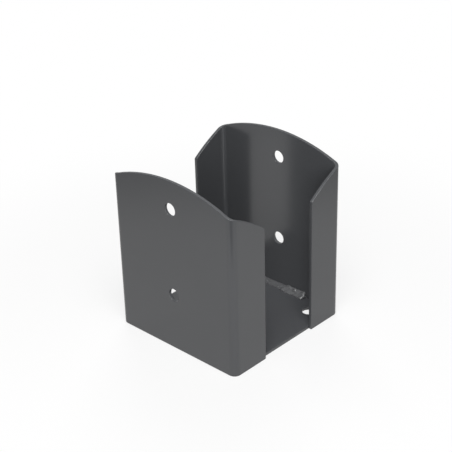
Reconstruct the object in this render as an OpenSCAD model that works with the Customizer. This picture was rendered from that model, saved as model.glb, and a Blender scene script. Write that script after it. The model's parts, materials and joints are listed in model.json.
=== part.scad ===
// Post base for a nominal 4 by 4 inch post. Two folded side channels with arched tops face each other,
// a flat plate closes the bottom between them, and a fillet weld runs along the foot of each wall.
// X runs along the walls, Y from the front wall to the back wall, Z up. The origin is the middle of the
// underside. Lengths are in millimetres.

/* [Socket] */
// Clear width of the socket both ways, for a post 89 square
socket_w = 91; // [86:0.5:110]
// Thickness of the sheet
sheet_t = 2; // [1.5:0.1:3]

/* [Side channels] */
// Height of a wall at the middle of its arched top
side_h = 111; // [104:1:160]
// Radius of the arched top, cut while the sheet is flat
arch_r = 115; // [110:1:300]
// Inner radius of the folds
fold_r = 2.5; // [1:0.1:4]
// Width of the folded flanges, outside the wall's thickness included
flange_w = 26.8; // [15:0.1:40]

/* [Bolt holes in the walls] */
// Diameter of the bolt holes
bolt_d = 8; // [5:0.5:12]
// Height of the lower hole's centre
low_bolt_z = 37; // [20:1:60]
// Height of the upper hole's centre
high_bolt_z = 93; // [75:1:95]

/* [Base plate] */
// Diameter of the anchor holes
anchor_d = 8; // [5:0.5:12]
// Distance between the anchor holes both ways
anchor_spacing = 68.5; // [40:0.5:70]

/* [Welds] */
// Length of a weld bead
bead_l = 47; // [20:1:60]
// Width of the first pass on the plate
first_leg = 4.3; // [2:0.1:5]
// Width of the second pass, which laps over the end of the first
second_leg = 4.9; // [2:0.1:5]
// Distance between the ripples of a bead
ripple_pitch = 2.2; // [1.5:0.1:4]

/* [Hidden] */
$fn = 180;

// Outside of the socket, and where the folds begin
outer_w = socket_w + 2 * sheet_t;
fold_out_r = fold_r + sheet_t;
flat_half = outer_w / 2 - fold_out_r;

// The flat blank: distances along the sheet from the middle of the wall. The neutral line of a fold lies
// this share of the thickness out from its inner face.
neutral_share = 0.4;
neutral_r = fold_r + neutral_share * sheet_t;
fold_end = flat_half + neutral_r * PI / 2;
blank_half = fold_end + flange_w - fold_out_r;

// Steps round a fold, how far a cutting block runs past the sheet, and how far two of them overlap
fold_steps = 12;
past = 1;
overlap = 0.01;

// The plate's corners are cropped, so that they clear the folds by this much
corner_clear = 1;
corner_crop = fold_r + corner_clear;

// The second pass starts at this share of the bead, and the first one ends this far beneath it
second_from = 0.6;
pass_lap = 3;

// The bead's section: its height for its width, how much it falls short of round half way up, how far the
// groove between two ripples stands back, and the width left at its tips
bead_rise = 0.68;
bead_flatness = 0.18;
ripple_depth = 0.08;
tip_leg = 0.25;
bead_sides = 6;
ripple_steps = 4;

// A pass ends bluntly: it has its full width this far in from its ends
end_run = 1.2;

coat = [0.30, 0.305, 0.315];
weld_coat = [0.33, 0.335, 0.345];

// Height of the arched top at a distance along the flat sheet from the middle of the wall
function arch_z(along) = side_h - arch_r + sqrt(arch_r * arch_r - along * along);

// A solid through a row of rings that all have the same number of points, wound so that its faces turn out
module skin(rings) {
    last = len(rings) - 1;
    count = len(rings[0]);
    start_cap = [for (j = [count - 1:-1:0]) j];
    end_cap = [for (j = [0:count - 1]) last * count + j];
    sides = [
        for (i = [0:last - 1], j = [0:count - 1])
            let (a = i * count + j, b = i * count + (j + 1) % count)
                each [[a, b, a + count], [b, b + count, a + count]]
    ];
    polyhedron(points = [for (ring = rings) each ring], faces = concat([start_cap, end_cap], sides));
}

// The offcut of the flat sheet above its arched top, between two distances from the middle of the wall
module offcut(from, to) {
    difference() {
        translate([from, 0])
            square([to - from, side_h + past]);
        translate([0, side_h - arch_r])
            circle(arch_r);
    }
}

// The outline of a trough that is open at the back, with its two front corners rounded
module trough(half, r, back) {
    translate([-half, r - half])
        square([2 * half, half - r + back]);
    translate([r - half, -half])
        square([2 * (half - r), 2 * r]);
    for (x = [r - half, half - r])
        translate([x, r - half])
            circle(r);
}

// The section of a channel: outside less inside, the same thickness all round
module section() {
    difference() {
        trough(outer_w / 2, fold_out_r, flange_w - outer_w / 2);
        trough(socket_w / 2, fold_r, 0);
    }
}

// One upright line of the block that trims a fold: it stands on the arch, at a place round the fold
function trim_ring(angle) =
    let (low = arch_z(flat_half + neutral_r * angle * PI / 180), near = fold_r / 2, far = fold_out_r + past)
        [for (p = [[near, low], [far, low], [far, side_h + past], [near, side_h + past]])
            [p.x * cos(angle), p.x * sin(angle), p.y]];

// What the arched cut takes off the wall, off a flange and off a fold between them
module wall_trim() {
    translate([0, sheet_t + past - outer_w / 2, 0])
        rotate([90, 0, 0])
            linear_extrude(sheet_t + 2 * past)
                offcut(-flat_half - overlap, flat_half + overlap);
}

module flange_trim() {
    translate([outer_w / 2 - sheet_t - past, -flat_half - fold_end, 0])
        rotate([90, 0, 90])
            linear_extrude(sheet_t + 2 * past)
                offcut(fold_end - overlap, blank_half + past);
}

module fold_trim() {
    step = 90 / fold_steps;
    translate([flat_half, -flat_half, 0])
        rotate(-90)
            skin([for (i = [0:fold_steps]) trim_ring(i * step)]);
}

// One side channel, in the place of the front one
module side_channel() {
    color(coat)
        difference() {
            linear_extrude(side_h)
                section();
            wall_trim();
            for (side = [0, 1])
                mirror([side, 0, 0]) {
                    fold_trim();
                    flange_trim();
                }
            for (z = [low_bolt_z, high_bolt_z])
                translate([0, 0, z])
                    rotate([90, 0, 0])
                        cylinder(d = bolt_d, h = outer_w);
        }
}

module front_side() {
    side_channel();
}

module back_side() {
    rotate(180)
        side_channel();
}

// The plate fills the bottom between the channels, level with their lower edges
module base_plate() {
    half = socket_w / 2;
    short = half - corner_crop;
    color(coat)
        linear_extrude(sheet_t)
            difference() {
                polygon([for (turn = [0:3], p = [[short, -half], [half, -short]])
                    [p.x * cos(90 * turn) - p.y * sin(90 * turn), p.x * sin(90 * turn) + p.y * cos(90 * turn)]]);
                for (x = [-1, 1], y = [-1, 1])
                    translate([x, y] * anchor_spacing / 2)
                        circle(d = anchor_d);
            }
}

// Width of one pass of weld at x, with its blunt ends rounded off
function pass_leg(x, from, to, leg) =
    let (inset = min(x - from, to - x, end_run))
        inset <= 0 ? 0 : leg * sqrt(inset * (2 * end_run - inset)) / end_run;

// How far a ripple stands back at x: nothing at its crest, one at the groove between two ripples
function ripple(x) =
    let (share = x / ripple_pitch - floor(x / ripple_pitch))
        pow(2 * share - 1, 2);

// Width of the whole bead at x
function bead_leg(x) =
    let (
        start = -bead_l / 2,
        second_start = start + second_from * bead_l,
        first = pass_leg(x, start, second_start + pass_lap, first_leg),
        second = pass_leg(x, second_start, bead_l / 2, second_leg)
    )
        max(tip_leg, max(first, second) * (1 - ripple_depth * ripple(x)));

// The section of the bead at x: square in the corner of plate and wall, and rounded outside
function bead_ring(x) =
    let (corner = socket_w / 2, leg = bead_leg(x))
        concat(
            [[x, corner, sheet_t]],
            [
                for (j = [0:bead_sides])
                    let (angle = 90 * j / bead_sides, reach = leg * (1 - bead_flatness * sin(2 * angle)))
                        [x, corner - reach * cos(angle), sheet_t + reach * bead_rise * sin(angle)]
            ]
        );

// One fillet weld, in the place of the back one
module weld_bead() {
    steps = ceil(bead_l / ripple_pitch * ripple_steps);
    color(weld_coat)
        skin([for (i = [0:steps]) bead_ring(bead_l * (i / steps - 0.5))]);
}

module front_weld() {
    rotate(180)
        weld_bead();
}

module back_weld() {
    weld_bead();
}

front_side();
back_side();
base_plate();
front_weld();
back_weld();
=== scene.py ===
import json
import math
from math import cos, pi, radians, sin, sqrt

import bpy
from mathutils import Matrix, Vector, noise
from mathutils.geometry import delaunay_2d_cdt


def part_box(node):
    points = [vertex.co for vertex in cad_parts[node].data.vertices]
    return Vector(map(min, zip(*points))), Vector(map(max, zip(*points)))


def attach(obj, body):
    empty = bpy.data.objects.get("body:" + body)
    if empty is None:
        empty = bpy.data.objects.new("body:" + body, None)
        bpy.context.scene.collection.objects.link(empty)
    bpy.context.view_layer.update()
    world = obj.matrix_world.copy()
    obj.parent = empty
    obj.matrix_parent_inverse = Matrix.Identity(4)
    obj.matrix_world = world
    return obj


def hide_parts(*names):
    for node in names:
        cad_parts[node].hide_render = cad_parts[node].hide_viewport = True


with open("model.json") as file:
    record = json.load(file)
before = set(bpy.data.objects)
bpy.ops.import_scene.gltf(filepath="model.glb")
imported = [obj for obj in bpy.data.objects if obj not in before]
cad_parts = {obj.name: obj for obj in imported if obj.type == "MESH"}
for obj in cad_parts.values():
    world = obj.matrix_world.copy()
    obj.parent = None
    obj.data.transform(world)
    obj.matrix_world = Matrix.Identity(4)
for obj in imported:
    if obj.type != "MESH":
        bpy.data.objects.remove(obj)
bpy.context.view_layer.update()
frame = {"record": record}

# Lengths are in metres
MM = 0.001
SAME_PLACE = 1e-6

# Sizes that the frame gives: the sheet, the socket and the holes
record = frame["record"]
mounts = {mount["name"]: mount for mount in record["mounts"]}
OUTER_W, _, SIDE_H = record["size"]["bbox_m"]
SHEET_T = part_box("base_plate")[1].z
SOCKET_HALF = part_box("base_plate")[1].x
FLANGE_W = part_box("front_side")[1].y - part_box("front_side")[0].y

# Sizes of the folded blank: arch, fold, and where the neutral line lies in the thickness
ARCH_R = 115 * MM
FOLD_R = 2.5 * MM
NEUTRAL_SHARE = 0.4
FOLD_OUT_R = FOLD_R + SHEET_T
NEUTRAL_R = FOLD_R + NEUTRAL_SHARE * SHEET_T
FLAT_HALF = OUTER_W / 2 - FOLD_OUT_R
FOLD_END = FLAT_HALF + NEUTRAL_R * pi / 2
BLANK_HALF = FOLD_END + FLANGE_W - FOLD_OUT_R

# The plate's corners are cropped, so that they clear the folds
CORNER_CLEAR = 1 * MM
CORNER_CROP = FOLD_R + CORNER_CLEAR

# The coat rounds every cut edge, and sharp corners of a blank are eased
EDGE_R = 0.35 * MM
EASED_R = 0.8 * MM

# How finely curves are stepped: half of the arch over the wall, over a fold and over a flange, then the rest
WALL_STEPS = 30
FOLD_STEPS = 24
FLANGE_STEPS = 16
HOLE_STEPS = 64
EDGE_STEPS = 4
EASED_STEPS = 5

# For the flat sheet's faces: only what lies inside the outline is filled, and points this close are one
FILL_INSIDE = 1
MERGE_WITHIN = 1e-7


def arch_z(along):
    """Height of the arched top at a distance along the flat sheet from the middle of the wall."""
    return SIDE_H - ARCH_R + sqrt(ARCH_R**2 - along**2)


def spread(start, end, count):
    """Evenly spaced numbers from start up to, but without, end."""
    return [start + (end - start) * i / count for i in range(count)]


def eased(points, corners):
    """An outline whose named corners are rounded off with a short arc."""
    out = []
    for i, point in enumerate(points):
        if i not in corners:
            out.append(point)
            continue
        before = (points[i - 1] - point).normalized()
        after = (points[(i + 1) % len(points)] - point).normalized()
        half = before.angle(after) / 2
        centre = point + (before + after).normalized() * (EASED_R / sin(half))
        reach = EASED_R / math.tan(half)
        start = point + before * reach - centre
        turn = start.angle_signed(point + after * reach - centre)
        out += [centre + start @ Matrix.Rotation(turn * j / EASED_STEPS, 2) for j in range(EASED_STEPS + 1)]
    return out


def inset(points, distance):
    """The outline moved inward by a distance, point for point. Outlines run with the sheet on their left."""
    moved = []
    for i, point in enumerate(points):
        before = (point - points[i - 1]).normalized()
        after = (points[(i + 1) % len(points)] - point).normalized()
        inward = Vector((-before.y - after.y, before.x + after.x)).normalized()
        moved.append(point + inward * (distance / inward.dot(Vector((-after.y, after.x)))))
    return moved


def round_hole(x, y, radius):
    """A hole's outline, which runs clockwise."""
    return [Vector((x + radius * cos(a), y - radius * sin(a))) for a in spread(0, 2 * pi, HOLE_STEPS)]


def edge_profile():
    """Rows from one face of the sheet round its edge to the other, each as inset and depth."""
    turn = [pi / 2 * i / EDGE_STEPS for i in range(EDGE_STEPS + 1)]
    near = [(EDGE_R * (1 - sin(a)), EDGE_R * (1 - cos(a))) for a in turn]
    return near + [(back, SHEET_T - depth) for back, depth in reversed(near)]


def sheet_piece(name, outline, holes, creases, place):
    """A closed mesh of a piece of sheet with rounded edges. Creases are pairs of points of the outline that
    the sheet's faces are split along, and place takes a point of the flat sheet and a depth to where it goes.
    A face whose corners all lie on one hole fills that hole, so it is left out."""
    loops = [outline, *holes]
    profile = edge_profile()
    rows = [[p for loop in loops for p in inset(loop, back)] for back, _ in profile]
    flat = rows[0]
    starts = [sum(len(loop) for loop in loops[:i]) for i in range(len(loops))]
    rims = [
        [(start + i, start + (i + 1) % len(loop)) for i in range(len(loop))]
        for start, loop in zip(starts, loops)
    ]
    edges = [edge for rim in rims for edge in rim] + creases
    _, _, faces, origin, _, _ = delaunay_2d_cdt(flat, edges, [], FILL_INSIDE, MERGE_WITHIN)
    owner = [which for which, loop in enumerate(loops) for _ in loop]
    kept = [[origin[i][0] for i in face] for face in faces]
    kept = [face for face in kept if owner[face[0]] == 0 or len({owner[i] for i in face}) > 1]
    count = len(flat)
    last = (len(rows) - 1) * count
    vertices = [place(p.x, p.y, depth) for row, (_, depth) in zip(rows, profile) for p in row]
    polygons = kept + [[last + i for i in reversed(face)] for face in kept]
    for row in range(len(rows) - 1):
        base = row * count
        polygons += [[base + b, base + a, base + count + a, base + count + b] for rim in rims for a, b in rim]
    return finished_mesh(name, vertices, polygons)


def finished_mesh(name, vertices, polygons):
    """An object with smooth faces, whose large flat faces keep their own normals."""
    mesh = bpy.data.meshes.new(name)
    mesh.from_pydata(vertices, [], polygons)
    mesh.validate()
    mesh.polygons.foreach_set("use_smooth", [True] * len(mesh.polygons))
    piece = bpy.data.objects.new(name, mesh)
    bpy.context.scene.collection.objects.link(piece)
    weighted = piece.modifiers.new("flat faces stay flat", "WEIGHTED_NORMAL")
    weighted.mode = "FACE_AREA"
    return piece


def on_channel(facing):
    """Where a point of the flat blank goes on a channel: facing is 1 for the front one and -1 for the back
    one."""

    def place(along, z, depth):
        side, out = math.copysign(1, along), abs(along)
        if out <= FLAT_HALF:
            x, y = out, depth - OUTER_W / 2
        elif out < FOLD_END:
            angle = (out - FLAT_HALF) / NEUTRAL_R
            x = FLAT_HALF + (FOLD_OUT_R - depth) * sin(angle)
            y = -FLAT_HALF - (FOLD_OUT_R - depth) * cos(angle)
        else:
            x, y = OUTER_W / 2 - depth, out - FOLD_END - FLAT_HALF
        return Vector((side * x * facing, y * facing, z))

    return place


def side_channel(name, facing, mount):
    """A folded side channel: one blank with an arched top and bolt holes, folded twice."""
    on_wall = spread(0, FLAT_HALF, WALL_STEPS)[1:]
    on_fold = [*spread(FLAT_HALF, FOLD_END, FOLD_STEPS), FOLD_END]
    on_flange = [*spread(FOLD_END, BLANK_HALF, FLANGE_STEPS)[1:], BLANK_HALF]
    half_arch = on_wall + on_fold + on_flange
    arch = [*half_arch[::-1], 0, *(-s for s in half_arch)]
    stations = [-s for s in reversed(on_fold)] + on_fold
    bottom = [Vector((s, 0)) for s in [-BLANK_HALF, *stations, BLANK_HALF]]
    top = [Vector((s, arch_z(s))) for s in arch]
    corners = [0, len(bottom) - 1, len(bottom), len(bottom) + len(top) - 1]
    outline = eased(bottom + top, corners)
    creases = [tuple(i for i, p in enumerate(outline) if abs(p.x - s) < SAME_PLACE) for s in stations]
    middle, gap = mount["pos_m"][2], mount["dims"]["spacing_y_mm"] * MM / 2
    holes = [round_hole(0, z, mount["dims"]["hole_r_mm"] * MM) for z in (middle - gap, middle + gap)]
    return sheet_piece(name, outline, holes, creases, on_channel(facing))


def flat_plate(name, mount):
    """The base plate, with its corners cropped clear of the folds and a hole near each."""
    short = SOCKET_HALF - CORNER_CROP
    corners = [Vector((short, -SOCKET_HALF)), Vector((SOCKET_HALF, -short))]
    outline = [corner @ Matrix.Rotation(-turn * pi / 2, 2) for turn in range(4) for corner in corners]
    out_x, out_y = (mount["dims"][key] * MM / 2 for key in ("spacing_x_mm", "spacing_y_mm"))
    radius = mount["dims"]["hole_r_mm"] * MM
    holes = [round_hole(i * out_x, j * out_y, radius) for i in (-1, 1) for j in (-1, 1)]
    return sheet_piece(name, outline, holes, [], lambda x, y, depth: Vector((x, y, SHEET_T - depth)))


# The weld bead: two passes, the second one wider and lapped over the end of the first
BEAD_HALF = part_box("back_weld")[1].x
FIRST_LEG = 4.1 * MM
SECOND_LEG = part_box("back_weld")[1].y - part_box("back_weld")[0].y
SECOND_START = 2 * MM
SECOND_SLANT = 3 * MM
PASS_LAP = 6 * MM
FIRST_RISE = 0.68
SECOND_RISE = 0.78
BEAD_FLATNESS = 0.2
BEAD_STEPS = 360
BEAD_SIDES = 20
TIP_LEG = 0.25 * MM

# A pass starts softly and ends bluntly behind a low ridge, further out half way up than at its toes
START_RUN = 2.5 * MM
END_RUN = 0.7 * MM
END_BULGE = 0.7 * MM
RIDGE_BACK = 1.9 * MM
RIDGE_W = 1.0 * MM
RIDGE_RISE = 0.12

# Ripples, and soft noise that makes them stronger in some places than in others
RIPPLE_PITCH = 1.6 * MM
RIPPLE_DEPTH = 0.04
RIPPLE_CHANGE = 4 * MM
RIPPLE_NOISE_AT = 9.7

# Small lumps from soft noise, which runs this far round the bead for each radian
LUMP_SIZE = 2 * MM
LUMP_DEPTH = 0.08
LUMP_ROUND = 2.5
LUMP_NOISE_AT = 4.1

# A few larger lumps, each as x in millimetres and degrees up from the plate
LARGE_LUMPS = [(9.6, 76), (14.2, 70), (11, 8), (21.2, 6), (-15, 20)]
LARGE_W = 1.3 * MM
LARGE_SPAN = radians(22)
LARGE_RISE = 0.16

# How far lumps may stand proud of the bead's even face, on the wall's side
PROUD = 0.08


def partway(distance, run):
    """From nothing to one over a run, and one beyond it."""
    return min(max(distance / run, 0), 1)


def pass_leg(x, angle, start, end, leg):
    """How far one pass of weld stands off its corner at x."""
    back = END_BULGE * (1 - sin(2 * angle))
    begun, left = partway(x - start - back, START_RUN), partway(end - x - back, END_RUN)
    return leg * sqrt(begun * (2 - begun) * left * (2 - left))


def ridge_near(x, middle):
    """One on the ridge behind the bead's blunt end, and less away from it."""
    return math.exp(-(((BEAD_HALF - x - END_BULGE * (1 - middle) - RIDGE_BACK) / RIDGE_W) ** 2))


def large_lump_near(x, angle):
    """One on a larger lump, and less away from it."""
    return sum(
        math.exp(-(((x - at * MM) / LARGE_W) ** 2) - ((angle - radians(way)) / LARGE_SPAN) ** 2)
        for at, way in LARGE_LUMPS
    )


def bead_leg(x, angle):
    """How far the bead stands off its corner at x, in the direction of an angle up from the plate."""
    middle = sin(2 * angle)
    first = pass_leg(x, angle, -BEAD_HALF, SECOND_START + PASS_LAP, FIRST_LEG)
    second = pass_leg(x, angle, SECOND_START + SECOND_SLANT * angle / (pi / 2), BEAD_HALF, SECOND_LEG)
    wave = 0.5 + 0.5 * cos(2 * pi * (x - END_BULGE * middle) / RIPPLE_PITCH)
    strength = 0.5 + noise.noise(Vector((x / RIPPLE_CHANGE, 0, RIPPLE_NOISE_AT)))
    lump = noise.noise(Vector((x / LUMP_SIZE, angle * LUMP_ROUND, LUMP_NOISE_AT)))
    rise = max(RIDGE_RISE * ridge_near(x, middle), LARGE_RISE * large_lump_near(x, angle))
    uneven = rise - RIDGE_RISE - RIPPLE_DEPTH * wave * strength * middle + LUMP_DEPTH * (lump - 0.5)
    most = PROUD * sin(angle) ** 2
    return max(TIP_LEG, max(first, second) * (1 + min(uneven, most))) * (1 - BEAD_FLATNESS * middle)


def weld_bead(name, facing):
    """A fillet weld in the corner of plate and wall: facing is 1 for the back one, -1 for the front one."""
    count = BEAD_SIDES + 2
    vertices = []
    for i in range(BEAD_STEPS + 1):
        x = BEAD_HALF * (2 * i / BEAD_STEPS - 1)
        rise = FIRST_RISE + (SECOND_RISE - FIRST_RISE) * partway(x - SECOND_START, PASS_LAP)
        vertices.append(Vector((x, SOCKET_HALF, SHEET_T)))
        for j in range(BEAD_SIDES + 1):
            angle = pi / 2 * j / BEAD_SIDES
            reach = bead_leg(x, angle)
            y, z = SOCKET_HALF - reach * cos(angle), SHEET_T + reach * rise * sin(angle)
            vertices.append(Vector((x, y, z)))
    vertices = [Vector((v.x * facing, v.y * facing, v.z)) for v in vertices]
    polygons = [list(range(count)), [BEAD_STEPS * count + j for j in reversed(range(count))]]
    for i in range(BEAD_STEPS):
        for j in range(count):
            a, b = i * count + j, i * count + (j + 1) % count
            polygons.append([a, a + count, b + count, b])
    return finished_mesh(name, vertices, polygons)


class Wire:
    """One output of a material's nodes. Python's operators on it add Math nodes."""

    def __init__(self, finish, socket):
        self.finish, self.socket = finish, socket

    def math(self, operation, *values):
        return self.finish.node("ShaderNodeMath", {"operation": operation}, dict(enumerate(values)))

    def __add__(self, other):
        return self.math("ADD", self, other)

    def __sub__(self, other):
        return self.math("SUBTRACT", self, other)

    def __rsub__(self, other):
        return self.math("SUBTRACT", other, self)

    def __mul__(self, other):
        return self.math("MULTIPLY", self, other)

    __radd__, __rmul__ = __add__, __mul__


class Finish:
    """The node tree of a material or of the world."""

    def __init__(self, owner):
        owner.use_nodes = True
        self.tree = owner.node_tree
        self.tree.nodes.clear()

    def node(self, kind, settings=None, sockets=None, output=0):
        """Adds a node with its settings, then sets or links its sockets, and gives back one output."""
        made = self.tree.nodes.new(kind)
        for key, value in (settings or {}).items():
            setattr(made, key, value)
        for key, value in (sockets or {}).items():
            if isinstance(value, Wire):
                self.tree.links.new(value.socket, made.inputs[key])
            else:
                made.inputs[key].default_value = value
        return Wire(self, made.outputs[output]) if made.outputs else None

    def spot(self):
        """Where a point of the surface lies in the part's own frame."""
        return self.node("ShaderNodeTexCoord", output="Object")

    def mix_colours(self, share, first, second):
        """A colour between two colours."""
        return self.node("ShaderNodeMix", {"data_type": "RGBA"}, {0: share, 6: first, 7: second}, 2)

    def mix_shaders(self, share, first, second):
        """A surface between two surfaces."""
        return self.node("ShaderNodeMixShader", None, {0: share, 1: first, 2: second})

    def between(self, distance, start, end, low, high):
        """From low to high, softly, over a stretch of distances."""
        ramp = {"Value": distance, "From Min": start, "From Max": end, "To Min": low, "To Max": high}
        return self.node("ShaderNodeMapRange", {"interpolation_type": "SMOOTHSTEP"}, ramp)

    def cloud(self, size, detail=2.0):
        """Soft noise whose lumps are about this many metres across."""
        sockets = {"Vector": self.spot(), "Scale": 1 / size, "Detail": detail}
        return self.node("ShaderNodeTexNoise", None, sockets)

    def glow(self, level):
        """A surface that shines by itself, and white at a level of one."""
        return self.node("ShaderNodeEmission", None, {"Color": grey(1), "Strength": level})


def grey(level):
    """A grey of a plain level, and white at one."""
    return (level, level, level, 1)


# The powder coat: how large its patches, its grain and its orange peel are
PATCH_SIZE = 30 * MM
GRAIN_SIZE = 0.5 * MM
PEEL_SIZE = 2.2 * MM

# How much duller or glossier patches and grain make it, and how much duller it is on faces that lie flat
PATCH_DULLS = 0.05
GRAIN_DULLS = 0.04
LYING_FLAT_DULLS = 0.14

# How high the grain is beside the orange peel, and how strongly and how deeply the two together show
GRAIN_RELIEF = 0.3
RELIEF_STRENGTH = 0.35
RELIEF_DEPTH = 0.02 * MM
COAT_IOR = 1.51

# Patches make this share of the change of shade on a bead; the rest is painted light, lighter on the second
# pass and darker on the first
PATCH_SHARE = 0.35


def powder_coat(name, dark, light, roughness, peel, tone_and_painted_light=None):
    """Semi-gloss black powder coat: a faint change of shade, the fine pebble of the powder and a soft orange
    peel. Faces that lie flat catch more powder, and so they are duller."""
    material = bpy.data.materials.new(name)
    finish = Finish(material)
    patches = finish.cloud(PATCH_SIZE)
    grain = finish.cloud(GRAIN_SIZE, detail=1.0)
    peel_lumps = finish.cloud(PEEL_SIZE, detail=1.0)
    # The shade comes from random patches, and on the weld also from painted light on the second pass
    shade = tone_and_painted_light(finish, patches) if tone_and_painted_light else patches
    colour = finish.mix_colours(shade, (*dark, 1), (*light, 1))
    facing = finish.node("ShaderNodeNewGeometry", output="Normal")
    upward = finish.node("ShaderNodeSeparateXYZ", None, {0: facing}, "Z")
    gloss = roughness + PATCH_DULLS * (patches - 0.5) + GRAIN_DULLS * (grain - 0.5)
    gloss = gloss + LYING_FLAT_DULLS * (upward * upward)
    bumps = {
        "Height": peel_lumps * peel + grain * GRAIN_RELIEF,
        "Strength": RELIEF_STRENGTH,
        "Distance": RELIEF_DEPTH,
    }
    relief = finish.node("ShaderNodeBump", None, bumps)
    coat = {"Base Color": colour, "Roughness": gloss, "Normal": relief, "IOR": COAT_IOR}
    surface = finish.node("ShaderNodeBsdfPrincipled", None, coat)
    finish.node("ShaderNodeOutputMaterial", None, {"Surface": surface})
    return material


def painted_light_on_second_pass(finish, patches):
    """The share of the lighter shade on a bead: random patches, and painted light that makes the second pass,
    which stands proud of the first, lighter than the first pass."""
    spot = finish.spot()
    x, y = (finish.node("ShaderNodeSeparateXYZ", None, {0: spot}, axis) for axis in "XY")
    second = finish.between(x * y.math("SIGN", y), SECOND_START, SECOND_START + PASS_LAP, 0, 1)
    return PATCH_SHARE * patches + (1 - PATCH_SHARE) * second


def dressed(piece, node, material):
    """Gives a piece its finish, and lets it stand for a node of the frame."""
    piece.data.materials.append(material)
    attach(piece, "root")
    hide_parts(node)


sheet_coat = powder_coat(
    "powder coat on sheet",
    dark=(0.087, 0.090, 0.096),
    light=(0.095, 0.098, 0.104),
    roughness=0.17,
    peel=1.0,
)
# The weld's lighter colour is painted light on its second pass; the first pass keeps the darker one
weld_coat = powder_coat(
    "powder coat on weld",
    dark=(0.096, 0.098, 0.103),
    light=(0.146, 0.148, 0.153),
    roughness=0.2,
    peel=1.6,
    tone_and_painted_light=painted_light_on_second_pass,
)

front_side = side_channel("front_side_sheet", 1, mounts["front_post_holes"])
back_side = side_channel("back_side_sheet", -1, mounts["back_post_holes"])
base_plate = flat_plate("base_plate_sheet", mounts["anchor_holes"])
dressed(front_side, "front_side", sheet_coat)
dressed(back_side, "back_side", sheet_coat)
dressed(base_plate, "base_plate", sheet_coat)
dressed(weld_bead("front_weld_bead", -1), "front_weld", weld_coat)
dressed(weld_bead("back_weld_bead", 1), "back_weld", weld_coat)

# The camera, as solved from the photo's straight edges, holes and arches
VIEW_AZIMUTH = radians(43.756)
VIEW_ELEVATION = radians(27.842)
VIEW_ROLL = radians(-1.567)
VIEW_DISTANCE = 724.06 * MM
AIM_SIDE = -1.44 * MM
AIM_HEIGHT = 63.72 * MM

# Its lens, from the photo's focal length in pixels and a sensor's width in millimetres
PHOTO_W = 452
FOCAL_PIXELS = 1210.5
SENSOR_W = 36
CLIP_NEAR = 0.01
CLIP_FAR = 50


def photo_camera():
    """A camera at the photo's angle and distance, with the photo's framing."""
    ahead = Vector((
        -sin(VIEW_AZIMUTH) * cos(VIEW_ELEVATION),
        cos(VIEW_AZIMUTH) * cos(VIEW_ELEVATION),
        -sin(VIEW_ELEVATION),
    ))
    level = Vector((cos(VIEW_AZIMUTH), sin(VIEW_AZIMUTH), 0))
    above = level.cross(ahead)
    right = level * cos(VIEW_ROLL) + above * sin(VIEW_ROLL)
    up = right.cross(ahead)
    data = bpy.data.cameras.new("photo camera")
    data.sensor_width = SENSOR_W
    data.lens = SENSOR_W * FOCAL_PIXELS / PHOTO_W
    data.clip_start, data.clip_end = CLIP_NEAR, CLIP_FAR
    camera = bpy.data.objects.new("photo camera", data)
    place = Vector((0, 0, AIM_HEIGHT)) + level * AIM_SIDE - ahead * VIEW_DISTANCE
    turned = Matrix((right, up, -ahead)).transposed().to_4x4()
    camera.matrix_world = Matrix.Translation(place) @ turned
    bpy.context.scene.collection.objects.link(camera)
    bpy.context.scene.camera = camera


# The floor: its share of plain white near the part, where the shadow falls, and how far out it is all white
FLOOR_W = 40
FLOOR_DROP = 0.2 * MM
FLOOR_GLOW = 0.75
SHADOW_REACH = 80 * MM
WHITE_FROM = 300 * MM

# A pool of light is painted into the floor round the part. Beyond it the floor throws hardly any light on the
# part, and a mirror shows it as dim as the sky.
PAINTED_POOL_R = 170 * MM
PAINTED_POOL_END = 335 * MM
FLOOR_BOUNCE = 0.28
FAR_BOUNCE = 0.02
SKY_LIGHT = 0.03
SKY_MIRRORED = 0.45

# A round dark spot painted on the floor, which only mirrors see: a painted reflection that draws the upper
# end of the near fold as a line
PAINTED_REFLECTION_PLACE = (204 * MM, -211 * MM, 0)
PAINTED_REFLECTION_R = 65 * MM
PAINTED_REFLECTION_END = 105 * MM
PAINTED_REFLECTION_LEVEL = 0.05


def seen_directly(finish, mirrored=1):
    """One where the camera or a clear piece looks, a share of that where a mirror looks, and nothing for
    light that falls on things."""
    path = ("Is Camera Ray", "Is Glossy Ray", "Is Transmission Ray")
    camera, glossy, clear = (finish.node("ShaderNodeLightPath", output=ray) for ray in path)
    return camera.math("MAXIMUM", camera.math("MAXIMUM", camera, glossy * mirrored), clear)


def white_sky():
    """A sky that is white to the camera, dimmer in mirrors, and throws an even faint light on the part."""
    world = bpy.data.worlds.new("white room")
    bpy.context.scene.world = world
    sky = Finish(world)
    strength = SKY_LIGHT + (1 - SKY_LIGHT) * seen_directly(sky, SKY_MIRRORED)
    glow = sky.node("ShaderNodeBackground", None, {"Color": grey(1), "Strength": strength})
    sky.node("ShaderNodeOutputWorld", None, {"Surface": glow})


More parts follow.
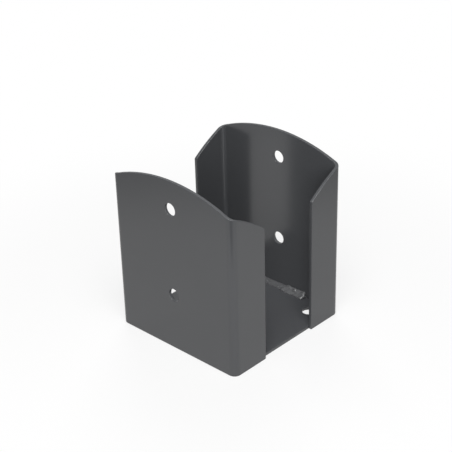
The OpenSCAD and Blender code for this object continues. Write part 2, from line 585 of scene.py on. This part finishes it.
def pale_floor():
    """A floor that keeps the part's shadow and is white further out. A pool of light is painted on it, which
    mirrors see dim beyond the pool, and a dark spot is painted on it, which only mirrors see."""
    mesh = bpy.data.meshes.new("floor")
    half = FLOOR_W / 2
    corners = [(-half, -half), (half, -half), (half, half), (-half, half)]
    mesh.from_pydata([(x, y, -FLOOR_DROP) for x, y in corners], [], [(0, 1, 2, 3)])
    floor = bpy.data.objects.new("floor", mesh)
    bpy.context.scene.collection.objects.link(floor)
    material = bpy.data.materials.new("pale floor")
    finish = Finish(material)
    looked_at = seen_directly(finish)
    mirrored = finish.node("ShaderNodeLightPath", output="Is Glossy Ray")
    spot = finish.spot()
    away = finish.node("ShaderNodeVectorMath", {"operation": "LENGTH"}, {0: spot}, "Value")
    from_painted_reflection = {0: spot, 1: PAINTED_REFLECTION_PLACE}
    aside = finish.node("ShaderNodeVectorMath", {"operation": "DISTANCE"}, from_painted_reflection, "Value")
    off_painted_pool = finish.between(away, PAINTED_POOL_R, PAINTED_POOL_END, 0, 1)
    on_painted_reflection = finish.between(aside, PAINTED_REFLECTION_R, PAINTED_REFLECTION_END, 1, 0)
    # Painted pool of light: the colour of the light the floor throws is lighter near the part and dark beyond
    painted_pool_colour = finish.mix_colours(off_painted_pool, grey(FLOOR_BOUNCE), grey(FAR_BOUNCE))
    shade = finish.mix_colours(looked_at, painted_pool_colour, grey(1))
    matt = finish.node("ShaderNodeBsdfDiffuse", None, {"Color": shade})
    share = finish.between(away, SHADOW_REACH, WHITE_FROM, FLOOR_GLOW, 1) * looked_at
    near = finish.mix_shaders(share, matt, finish.glow(1))
    # Painted dimness beyond the pool of light, which only mirrors see
    beyond = finish.mix_shaders(off_painted_pool * mirrored, near, finish.glow(SKY_MIRRORED))
    # Painted reflection: a dark spot on the floor that only mirrors see
    surface = finish.mix_shaders(on_painted_reflection * mirrored, beyond, finish.glow(PAINTED_REFLECTION_LEVEL))
    finish.node("ShaderNodeOutputMaterial", None, {"Surface": surface})
    floor.data.materials.append(material)


# What the softboxes face, and their width as a share of their distance
SOFTBOX_AIM = Vector((0, 0, 50 * MM))
SOFTBOX_SPREAD = 0.6


def softbox(name, azimuth, elevation, far, watts, mirrored=True):
    """A square soft lamp that faces the part from a distance and a direction: azimuth 0 is in front of the
    front wall, and 90 is at the part's right. Glossy faces show it only if it is mirrored."""
    turn, climb = radians(azimuth), radians(elevation)
    direction = Vector((sin(turn) * cos(climb), -cos(turn) * cos(climb), sin(climb)))
    data = bpy.data.lights.new(name, "AREA")
    data.shape = "SQUARE"
    data.size = SOFTBOX_SPREAD * far
    data.energy = watts
    lamp = bpy.data.objects.new(name, data)
    lamp.location = SOFTBOX_AIM + direction * far
    lamp.rotation_euler = direction.to_track_quat("Z", "Y").to_euler()
    lamp.visible_camera = False
    lamp.visible_glossy = mirrored
    bpy.context.scene.collection.objects.link(lamp)


photo_camera()
white_sky()
pale_floor()
softbox("high softbox", azimuth=45, elevation=65, far=0.7, watts=4.0)
softbox("low softbox", azimuth=45, elevation=10, far=0.7, watts=1.95)
softbox("back softbox", azimuth=225, elevation=35, far=1.5, watts=9, mirrored=False)
bpy.context.scene.view_settings.view_transform = "Standard"

bpy.context.view_layer.update()
